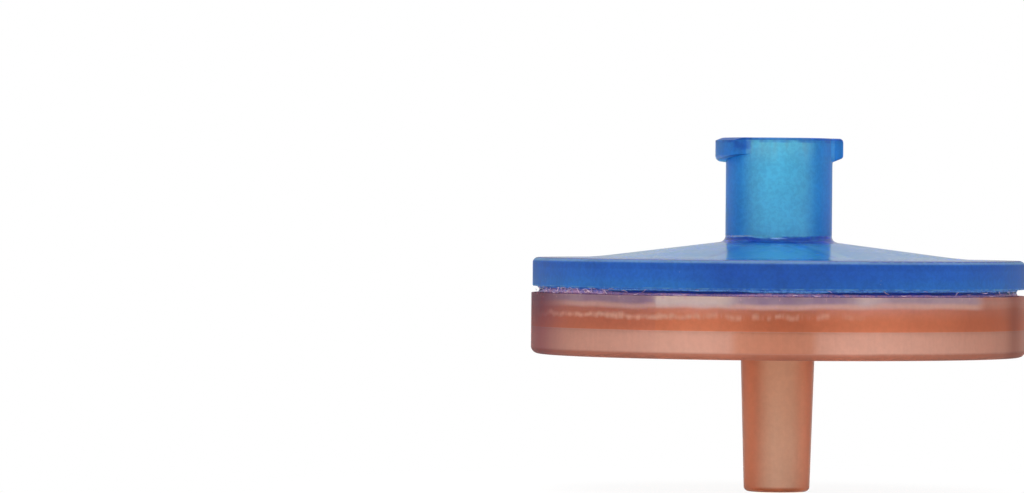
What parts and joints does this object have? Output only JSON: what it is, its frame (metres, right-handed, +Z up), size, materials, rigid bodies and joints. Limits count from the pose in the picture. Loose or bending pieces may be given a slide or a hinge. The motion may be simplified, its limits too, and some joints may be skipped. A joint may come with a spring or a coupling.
{
  "type": "syringe filter",
  "caption": "Disc-shaped syringe filter: blue half with a lugged tapered socket, orange half with a tapered outlet tube, and a flat membrane welded between them.",
  "frame": {"origin": "centre of the outlet tip's end face, on which the filter stands", "axes": "+Z up the flow axis to the inlet's mouth, X through the two lock lugs"},
  "size_m": [0.0302, 0.0302, 0.0215],
  "materials": {
    "blue_polypropylene": "translucent, glossy, as moulded",
    "orange_polypropylene": "translucent, satin, as moulded",
    "white_membrane": "matt, microporous"
  },
  "bodies": {
    "root": {"inlet_housing": "blue_polypropylene", "filter_membrane": "white_membrane", "outlet_housing": "orange_polypropylene"}
  },
  "joints": []
}
